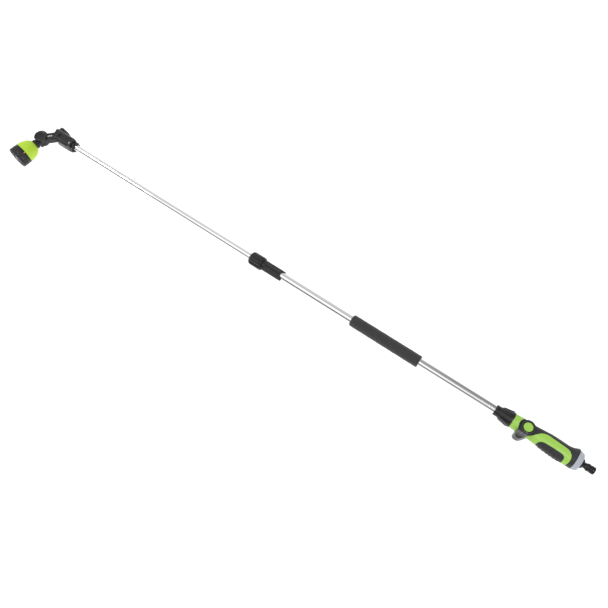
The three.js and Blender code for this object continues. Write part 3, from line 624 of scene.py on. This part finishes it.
def screw_head(name, at, foot, seat, r, rise, body, stands_for, material):
    """A small pan-head screw that stands on a point of the XY plane, with a cross recess."""
    head = lathe("screw", [(foot, 0), (foot, r * 0.5), (seat, r * 0.5), (seat, r),
                           (seat + rise * 0.45, r * 0.97), (seat + rise * 0.85, r * 0.72),
                           (seat + rise, r * 0.3), (seat + rise, 0)], 40)
    top = seat + rise
    upright(head, Vector((at[0], at[1], 0)))
    slot = r * 0.62
    for a in (0.4, 0.4 + math.pi / 2):
        bar = block(-slot, slot, -0.25, 0.25, top - 0.7, top + 1)
        cut(head, turn(bar, Matrix.Translation((at[0], at[1], 0)) @ Matrix.Rotation(a, 4, "Z")))
    piece(head, name, body, material, stands_for, bevel=0)


def rear_end():
    collar = lathe("collar", [(666.8, 14.3), (666.8, 21.9), (667.7, 22.4), (669.5, 22.1), (672.5, 21.4),
                              (676.2, 20), (678.2, 18.9), (679, 18.1), (679, 9), (676, 9), (676, 14.3)],
                   128)
    piece(collar, "end_collar_ring", "handle", grey_texture, ["end_collar"], bevel=0.2)
    g = PLUG_GROOVE
    profile = [(655.3, 5), (655.3, 8.6), (679.3, 8.6), (679.3, 10.5), (679.8, 10.9), (683.2, 10.9),
               (684.2, 10.3), (685.6, 8.0), (686.6, 6.9), (688, 6.5), (690.4, 6.5), (691.6, 6.9),
               (692.8, 7.8), (694.4, 8.5), (695.6, 8.6), (697, 8.6), (698, 8.2), (698.8, 7.8),
               (g - 1.35, 7.8), (g - 1.35, 6.3), (g + 1.35, 6.3), (g + 1.35, 8.2), (g + 1.6, 8.3),
               (708.6, 8.3), (709.6, 7.9), (710, 7.3), (710, 5.7), (704.5, 5.7), (704.5, 5)]
    piece(lathe("plug", profile, 96), "hose_plug_body", "handle", gloss_black, ["hose_plug"],
          bevel=0.15)
    ring = [(g + 0.95 * math.cos(2 * math.pi * k / 14),
             7.5 + 0.95 * math.sin(2 * math.pi * k / 14)) for k in range(14)]
    piece(lathe("ring", ring, 72), "plug_seal_ring", "handle", seal_black, ["plug_o_ring"],
          bevel=0)


# ---- flow lever -------------------------------------------------------------------------------------
def flow_lever():
    at = LEVER_PIVOT
    outer, inner, disc, bezel, button_r = 17.6, 13.3, 15.6, 14.0, 9.8
    grip_clear_r, axle_r = 21, 4.3
    tab = rounded(TAB, 3.0, 4)
    taper = rounded([(30, outer), (-16, outer), (-25, 14.5), (-30, 12), (-32.5, 9), (-32.5, -9), (-30, -12),
                     (-25, -14.5), (-16, -outer), (30, -outer)], 3.0, 4)
    obj = union(rod_z(at, -outer, outer, disc, 96),
                common(prism("tab", tab, -outer, outer), prism("taper", taper, 500, 620, "X")))
    for side in (1, -1):
        # The bezel rims take the lighter black as a painted highlight.
        rim = lathe("rim", [(16.5, bezel - 1.6), (18.2, bezel - 1.3), (18.4, bezel - 0.9),
                            (18.2, bezel - 0.1), (16.5, bezel + 0.3)], 96)
        if side < 0:
            turn(rim, Matrix.Rotation(math.pi, 4, "Z"))
        name = "bezel_ring_near" if side > 0 else "bezel_ring_far"
        piece(upright(rim, at), name, "lever", bezel_painted_highlight, bevel=0)
        ends = sorted((side * 14.8, side * 22))
        cut(obj, rod_z(at, ends[0], ends[1], button_r + 0.5, 72))
        ends = sorted((side * 16.6, side * 22))
        cut(obj, rod_z(at, ends[0], ends[1], bezel - 1.7, 72))
    ring_room = common(rod_x(520, 546, 17.6), block(520, 550, -30, 30, -13, 13))
    cut(obj, rod_z(at, -inner, inner, grip_clear_r), ring_room, rod_z(at, -20, 20, axle_r, 32))
    for i in range(4):
        groove = turn(rod_x(-14, 14, 0.5, 10),
                      Matrix.Translation((545 + 3.2 * i, -31.9 + 0.25 * (i - 1) ** 2, 0))
                      @ Matrix.Rotation(math.pi / 2, 4, "Y"))
        cut(obj, groove)
    piece(obj, "flow_lever_yoke", "lever", black, ["flow_lever"], bevel=0.35)
    for side, node in ((1, "lever_button"), (-1, "rear_button")):
        button = lathe("button", [(15.1, 0), (15.1, button_r), (18.6, button_r), (19.2, button_r - 0.2),
                                  (19.7, button_r - 0.7), (20, button_r - 1.7), (20.1, 0)], 96)
        upright(button)
        square, inner_square = (rounded([(r, r), (-r, r), (-r, -r), (r, -r)], r * 0.6, 8)
                                for r in (5.9, 5.1))
        groove = cut(prism("square", square, 19.7, 22), prism("square", inner_square, 19, 23))
        cut(button, groove)
        if side < 0:
            turn(button, Matrix.Rotation(math.pi, 4, "X"))
        turn(button, Matrix.Translation(at))
        piece(button, node + "_cap", "lever", handle_green, [node], bevel=0.12)


# ---- coupling, thumb catch and arm ------------------------------------------------------------------
def coupling():
    half, half_z = 16, 15
    back, tail = -789, -781
    corner = 5
    screw_at = (-795, -5)
    octagon = [(half, -half_z + corner), (half, half_z - corner), (half - corner, half_z),
               (-half + corner, half_z), (-half, half_z - corner), (-half, -half_z + corner),
               (-half + corner, -half_z), (half - corner, -half_z)]
    side = [(-858, half + 1), (-859, 9), (-853, -7), (-838, -half - 1), (-806, -half - 1), (back, -12.5),
            (back, 13), (-804, half + 1)]
    obj = common(prism("shell", rounded(octagon, 1.6, 3), -870, back, "X"),
                 prism("side", rounded(side, 2.0, 3), -20, 20))
    flare = lathe("flare", [(back - 4, 0), (back - 4, 12), (tail - 0.6, 14.0), (tail, 13.6), (tail, 0)], 96)
    for i in range(4):
        angle = Matrix.Rotation(i * math.pi / 2, 4, "X")
        scallop = lathe("scallop", [(-5.6 * math.cos(math.pi * k / 12), 5.6 * math.sin(math.pi * k / 12))
                                    for k in range(13)], 32)
        cut(flare, turn(scallop, angle @ Matrix.Translation((tail + 2.5, 13.5, 0))))
    union(obj, flare)
    for x in (-803.5, -786.5):
        groove = cut(rod_x(x - 0.5, x + 0.5, 30), rod_x(x - 1, x + 1, 15.2 if x < back else 12.1))
        cut(obj, groove)
    barrel_r = 12.6
    fork = union(block(-880, -833, -30, barrel_r, -FORK_HALF, FORK_HALF),
                 rod_z(ARM_PIVOT, -FORK_HALF, FORK_HALF, barrel_r))
    tools = [fork, rod_x(-835, tail + 1, 7), rod_x(-817, tail + 1, INNER_R + 0.15),
             rod_z(ARM_PIVOT, -20, 20, PIN_R, 32), block(-841, -824, 9, 20, -3.6, 3.6)]
    recess = 2.4
    for low in (half_z - recess, -half_z + recess - 7.4):
        panel = rounded([(-839, -6), (-840, 4.6), (-806, 3.6), (-803, -6)], 2.4, 4)
        tools.append(prism("panel", panel, low, low + 7.4))
    tools.append(rod_z(screw_at, 9, 20, 1.6, 24))
    tools.append(turn(rod_x(-825, -819.8, SPRING_R, 32), Matrix.Translation((0, SPRING_Y, 0))))
    cut(obj, *tools)
    piece(obj, "coupling_body", "inner", black, ["coupling_shell"], bevel=0.35)
    screw_head("coupling_screw_head", screw_at, 10, half_z + 0.3, 2.7, 1.6, "inner", ["coupling_screw"],
               plated)


def thumb_catch():
    """A sliding catch whose top is a row of rising fins for the thumb."""
    base = 16.3
    outline = [(-825, base), (-825, 20.0)]
    fins, front, back = 6, -861.0, -827.0
    step = (back - front) / fins
    for i in range(fins):
        at = back - i * step
        height = 21.8 + i * 1.1
        outline += [(at, height - 0.6), (at - step * 0.2, height + 0.6), (at - step * 0.48, height + 0.8),
                    (at - step * 0.62, height - 2.2), (at - step * 0.95, height - 1.9)]
    outline += [(-861.6, 27.2), (-863.4, 26.4), (-864, base)]
    obj = prism("catch", outline, -5.5, 5.5)
    union(obj, block(-840, -836, 10.4, 17.3, -3.3, 3.3))
    cut(obj, block(-870, -855, 10, 40, 3.4, 9), block(-870, -855, 10, 40, -9, -3.4))
    cut(obj, block(-850, -829, 20.4, 40, -1.0, 1.0))
    piece(obj, "thumb_catch_body", "catch", black, ["thumb_catch"], bevel=0.25)


def arm():
    reach = (KNUCKLE - ARM_PIVOT).length
    half, half_z = 12, 11
    section = rounded([(half, -half_z + 4), (half, half_z - 4), (half - 4, half_z), (-half + 4, half_z),
                       (-half, half_z - 4), (-half, -half_z + 4), (-half + 4, -half_z),
                       (half - 4, -half_z)], 2.2, 3)
    obj = union(prism("arm", section, 1, reach - 2, "X"), rod_z((0, 0), -half_z, half_z, 12, 72),
                rod_z((reach, 0), -2, 11, 15, 96))
    waist = [prism("waist", rounded([(14, s * 16), (30, s * 16), (27, s * 11.2), (17, s * 11.2)], 1.5, 3),
                   -30, 30)
             for s in (1, -1)]
    plate = prism("plate", rounded([(14.5, -4.6), (28.5, -4.6), (28.5, 4.6), (14.5, 4.6)], 1.2, 3),
                  half_z - 0.6, 15)
    stubs = [rod_z((0, 0), 7.3, 20, PIN_R, 32), rod_z((0, 0), -20, -7.3, PIN_R, 32)]
    cut(obj, *waist, rod_z((reach, 0), -30, -2, 15.5, 96), rod_z((reach, 0), -3, 30, 6.3, 48),
        rod_z((reach, 0), 11, 30, 18.4, 96), rod_x(0, reach, PASSAGE_R, 32),
        turn(rod_x(0, 20, PASSAGE_R, 32), Matrix.Rotation(-arm_heading, 4, "Z")), plate, *stubs)
    piece(obj, "spray_arm_body", "arm", black, ["spray_arm"], place=ARM_FRAME, bevel=0.4)
    mark_finish = plastic("pale_mark", (0.62, 0.63, 0.66), 0.5, edge_wear_and_highlight=1.1)
    middle, half_bar = 2.4, 1.9
    for i, (start, end) in enumerate(((12.8, 18.8), (20.2, 28.6))):
        bar = block(start, end, middle - half_bar, middle + half_bar, half_z - 0.7, half_z - 0.15)
        piece(bar, f"arm_mark_{i + 1}", "arm", mark_finish, place=ARM_FRAME, bevel=0.1)


# ---- spray head -------------------------------------------------------------------------------------
def knuckle():
    low = -2.4
    obj = union(lathe("neck", [(4.5, 0), (4.5, 10.5), (16.4, 10.5), (16.8, 10.0), (17.4, 10.0),
                               (17.8, 10.5), (18.7, 10.5), (18.7, 9), (30, 9), (30, 0)]),
                block(3.3, 16.2, -9.7, 9.7, -13, low - 0.15))
    cut(obj, rod_z((0, 0), low + 0.05, 30, 15.5, 96))
    barrel = upright(lathe("barrel", [(-14, 0), (-14, 12.6), (-13.2, 14.2), (-11.8, 15), (low - 2.6, 15),
                                      (low - 2.2, 14.5), (low - 1.4, 14.5), (low - 1.0, 15), (low, 15),
                                      (low, 0)]))
    axle = rod_z((0, 0), low - 1, 11.3, 6, 48)
    union(obj, barrel, axle)
    cut(obj, rod_z((0, 0), -11, 12, 3.8, 32), turn(rod_x(0, 24, 2.6, 24), Matrix.Translation((0, 0, -5.7))),
        rod_x(21, 31, 4.4, 32))
    piece(obj, "swivel_elbow_body", "head", black, ["swivel_elbow"], place=HEAD_FRAME,
          bevel=0.35)
    cap = [(8.6, 0), (8.6, 3.5), (11.7, 3.5), (11.7, 17.2), (12.4, 18), (14.0, 18), (14.8, 17.3),
           (15, 16.4), (14.9, 15.4), (14.3, 14.2), (13.9, 12.5), (13.6, 9), (13.45, 4), (13.4, 0)]
    piece(upright(lathe("cap", cap, 112)), "swivel_cap_disc", "head", black,
          ["swivel_cap"], place=HEAD_FRAME, bevel=0)
    nut = prism("nut", lobed(12.6, 16, 0.7, power=0.5), 19, 27.5, "X")
    common(nut, lathe("shape", [(19, 0), (19, 11.6), (20, 12.7), (22.4, 12.7), (23, 12.0), (24, 12.0),
                                (24.6, 12.7), (26.6, 12.7), (27.5, 11.9), (27.5, 0)]))
    cut(nut, rod_x(10, 30, 9.3))
    piece(nut, "neck_nut_body", "head", black, ["neck_nut"], place=HEAD_FRAME, bevel=0.25)


BELL_LINE = [(27.8, 14.2), (28.6, 15.6), (30, 17.2), (34, 20.5), (40, 23.7), (47, 26.0), (55, 27.6),
             (63, 28.4)]


def bell():
    outside = [tuple(spline(BELL_LINE, k / 48)) for k in range(49)]
    inside = [(x + 1.4 if x < 60 else x, r - 2.0) for x, r in reversed(outside) if x > 30.2]
    inside[0] = (63, 26.4)
    obj = lathe("bell", [(27.8, 9.3)] + outside + [(63.0, 27.6)] + inside + [(30, 9.3)], 144)
    piece(obj, "bell_shell", "head", bell_green, ["bell"], place=HEAD_FRAME, bevel=0.25,
          angle=50)


SIGNS = 8


def dial_icon(kind):
    """A raised generic spray sign, drawn in millimetres on the dial's side."""
    if kind == 0:
        return [block(-2.6, 2.6, low, low + 0.7, 0, 1) for low in (-0.35, 1.0, -1.7)]
    if kind == 1:
        return [prism("cone", [(-2.6, 0), (2.4, -2.2), (2.4, 2.2)], 0, 1)]
    if kind == 2:
        return [block(-2.6, 2.6, -0.5, 0.5, 0, 1)]
    return [rod_z((x, y), 0, 1, 0.5, 12) for x in (-1.8, 0, 1.8) for y in (-1.3, 1.3)]


def pattern_dial():
    r = 28.4
    outline = lobed(r, 48, 0.45, count=480, power=1.5)
    obj = prism("dial", outline, 63.4, 87, "X")
    shape = lathe("shape", [(63.4, 0), (63.4, 27.6), (64.0, 28.0), (69.4, 28.05), (70.0, 28.5),
                            (85.2, 28.5), (86.4, 28.1), (87, 27.3), (87, 25.6), (86.4, 25.2), (83.4, 25.2),
                            (83.4, 0)],
                  160)
    common(obj, shape)
    for i in range(SIGNS):
        groove = turn(rod_x(69.5, 90, 3.4, 32), Matrix.Translation((0, r + 2.3, 0)))
        cut(obj, turn(groove, Matrix.Rotation(i * 2 * math.pi / SIGNS, 4, "X")))
    union(obj, rod_x(32.6, 64, 10))
    cut(obj, rod_x(30, 90, 3.5, 32))
    piece(obj, "pattern_dial_body", "dial", dial_black, ["pattern_dial"], place=HEAD_FRAME,
          bevel=0.2)
    sign_finish = plastic("dial_sign", (0.16, 0.16, 0.17), 0.5, edge_wear_and_highlight=1.2)
    for i in range(SIGNS):
        signs = dial_icon(i % 4)
        obj = signs[0]
        for extra in signs[1:]:
            union(obj, extra)
        turn(obj, Matrix.Rotation((i + 0.5) * 2 * math.pi / SIGNS, 4, "X")
             @ Matrix.Translation((78, 0, r - 0.75)))
        piece(obj, f"dial_sign_{i + 1}", "dial", sign_finish, place=HEAD_FRAME, bevel=0.08)


def spray_plate():
    """The dial's face: eight nozzles of different kinds round a central screw."""
    obj = lathe("plate", [(83.7, 2.2), (83.7, 24.9), (85.6, 24.9), (86.0, 24.5), (86.0, 23.2), (85.2, 22.6),
                          (85.2, 9.2), (86.2, 8.4), (86.2, 2.2)], 144)
    for i in range(SIGNS):
        a = i * 2 * math.pi / SIGNS
        spin = Matrix.Rotation(a, 4, "X")
        if i % 2 == 0:
            boss = turn(lathe("boss", [(84.5, 0), (84.5, 5.0), (86.3, 4.7), (86.6, 4.3), (86.6, 0)], 48),
                        spin @ Matrix.Translation((0, 16, 0)))
            union(obj, boss)
            count, reach = (7, 2.7) if i % 4 == 0 else (1, 0)
            for k in range(count):
                b = 2 * math.pi * k / count
                size = 0.62 if count > 1 else 2.3
                hole = turn(rod_x(84.9, 90, size, 20),
                            spin @ Matrix.Translation((0, 16 + reach * math.cos(b), reach * math.sin(b))))
                cut(obj, hole)
        else:
            slot = prism("slot", rounded([(13.4, -3.4), (19.4, -3.4), (19.4, 3.4), (13.4, 3.4)], 1.6, 4),
                         84.4, 86.7, "X")
            union(obj, turn(slot, spin))
            if i % 4 == 1:
                cut(obj, turn(block(84.9, 90, 15.9, 16.9, -2.6, 2.6), spin))
            else:
                for y in (14.8, 16.4, 18.0):
                    for z in (-2, 0, 2):
                        cut(obj, turn(turn(rod_x(84.9, 90, 0.5, 14), Matrix.Translation((0, y, z))), spin))
    piece(obj, "spray_plate_face", "dial", dial_black, ["spray_plate"], place=HEAD_FRAME,
          bevel=0.12)
    head = lathe("screw", [(66, 0), (66, 1.7), (86.3, 1.7), (86.3, 4), (86.9, 3.95), (87.5, 3.1),
                           (87.7, 1.5), (87.7, 0)], 48)
    for a in (0.3, 0.3 + math.pi / 2):
        cut(head, turn(block(87.1, 90, -2.2, 2.2, -0.35, 0.35), Matrix.Rotation(a, 4, "X")))
    piece(head, "dial_screw_head", "dial", plated, ["dial_screw"], place=HEAD_FRAME, bevel=0.1)


# ---- CAD nodes that stay ----------------------------------------------------------------------------
KEPT = {
    "handle_core": black, "tube_seal": seal_black, "filter_washer": plated, "lock_collet": nylon,
    "valve_seat": nylon, "valve_cap": black, "valve_spool": nylon, "spool_o_ring_upper": seal_black,
    "spool_o_ring_lower": seal_black, "piston_bush": nylon, "piston_o_ring": seal_black,
    "tube_o_ring": seal_black, "arm_pin_near": black, "arm_pin_far": black, "catch_spring": plated,
    "swivel_o_ring": seal_black, "bell_gasket": seal_black, "index_mark": orange,
}


def finish_kept_nodes():
    for node, material in KEPT.items():
        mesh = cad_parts[node].data
        mesh.materials.clear()
        mesh.materials.append(material)


# ---- floor and light --------------------------------------------------------------------------------
FLOOR_DROP = 0.16  # m below the wand, so that the head can swing down past it at the joints' limits


def floor():
    half = 9
    corners = [(-half, -half, 0), (half, -half, 0), (half, half, 0), (-half, half, 0)]
    obj = new_object("floor", corners, [(0, 1, 2, 3)])
    f = Finish("floor_white")
    f.colour(f.mix(f.noise(2.0, 3.0), (0.60, 0.60, 0.60), (0.63, 0.63, 0.63)))
    f.set(Roughness=0.9, Emission_Color=(1, 1, 1, 1), Emission_Strength=0.7)
    obj.data.materials.append(f.material)
    obj.location.z = -FLOOR_DROP


def softbox(name, location, target, size, power):
    data = bpy.data.lights.new(name, "AREA")
    data.shape = "RECTANGLE"
    data.size, data.size_y = size
    data.energy = power
    light = bpy.data.objects.new(name, data)
    bpy.context.scene.collection.objects.link(light)
    light.location = location
    light.rotation_euler = (Vector(target) - Vector(location)).to_track_quat("-Z", "Y").to_euler()


def studio():
    """A white room, with soft grey strips in its reflection that draw lines along the polished tubes."""
    world = bpy.data.worlds.new("studio")
    bpy.context.scene.world = world
    world.use_nodes = True
    nodes, links = world.node_tree.nodes, world.node_tree.links
    where = nodes.new("ShaderNodeTexCoord").outputs["Generated"]
    split = nodes.new("ShaderNodeSeparateXYZ")
    links.new(where, split.inputs[0])
    angle = nodes.new("ShaderNodeMath")
    angle.operation = "ARCTAN2"
    links.new(split.outputs["Y"], angle.inputs[0])
    links.new(split.outputs["Z"], angle.inputs[1])
    turns = nodes.new("ShaderNodeMapRange")
    turns.inputs["From Min"].default_value = -math.pi
    turns.inputs["From Max"].default_value = math.pi
    links.new(angle.outputs[0], turns.inputs["Value"])

    def strips(stops):
        ramp = nodes.new("ShaderNodeValToRGB")
        ramp.color_ramp.interpolation = "EASE"
        elements = ramp.color_ramp.elements
        while len(elements) > 1:
            elements.remove(elements[-1])
        elements[0].position = 0.0
        elements[0].color = (1, 1, 1, 1)
        for degrees, level in stops:
            element = elements.new(0.5 + degrees / 360)
            element.color = (level, level, level, 1)
        links.new(turns.outputs["Result"], ramp.inputs["Fac"])
        return ramp.outputs["Color"]

    toward_head = strips(HEAD_STRIPS)
    toward_plug = strips(PLUG_STRIPS)
    side = nodes.new("ShaderNodeMapRange")
    side.inputs["From Min"].default_value = -0.22
    side.inputs["From Max"].default_value = 0.02
    side.interpolation_type = "SMOOTHSTEP"
    links.new(split.outputs["X"], side.inputs["Value"])
    mix = nodes.new("ShaderNodeMix")
    mix.data_type = "RGBA"
    links.new(side.outputs["Result"], mix.inputs["Factor"])
    links.new(toward_head, mix.inputs["A"])
    links.new(toward_plug, mix.inputs["B"])
    seen = nodes.new("ShaderNodeMix")
    seen.data_type = "RGBA"
    seen.inputs["B"].default_value = (1, 1, 1, 1)
    links.new(nodes.new("ShaderNodeLightPath").outputs["Is Camera Ray"], seen.inputs["Factor"])
    links.new(mix.outputs["Result"], seen.inputs["A"])
    background = nodes["Background"]
    links.new(seen.outputs["Result"], background.inputs["Color"])
    background.inputs["Strength"].default_value = 1.0
    softbox("key", (1.15, -0.55, 2.4), (0.5, 0, 0), (0.8, 0.25), 17)
    softbox("head_light", (-2.3, -0.7, 2.2), (-0.7, 0, 0), (0.9, 0.3), 15)
    softbox("fill", (-0.5, -0.9, 2.6), (0, 0, 0), (2.6, 1.4), 5)


# Strips of the room by the angle about the wand: 0 is overhead, -90 the bend side, 90 the back.
HEAD_STRIPS = [(-110, 0.75), (-94, 0.5), (-89, 0.04), (-66, 0.04), (-57, 1.0), (0, 1.0), (9, 0.48),
               (18, 0.48), (27, 0.74), (110, 0.8)]
PLUG_STRIPS = [(-120, 0.9), (-95, 0.95), (-80, 0.25), (-66, 0.18), (-48, 0.8), (-34, 0.95), (0, 0.5),
               (30, 0.3), (60, 0.32), (85, 0.8)]

add_camera()
finish_kept_nodes()
tubes()
foam_grip()
lock_sleeve()
lock_nut()
handle()
nose_nut()
rear_end()
flow_lever()
coupling()
thumb_catch()
arm()
knuckle()
bell()
pattern_dial()
spray_plate()
floor()
studio()
bpy.context.scene.view_settings.view_transform = "Standard"
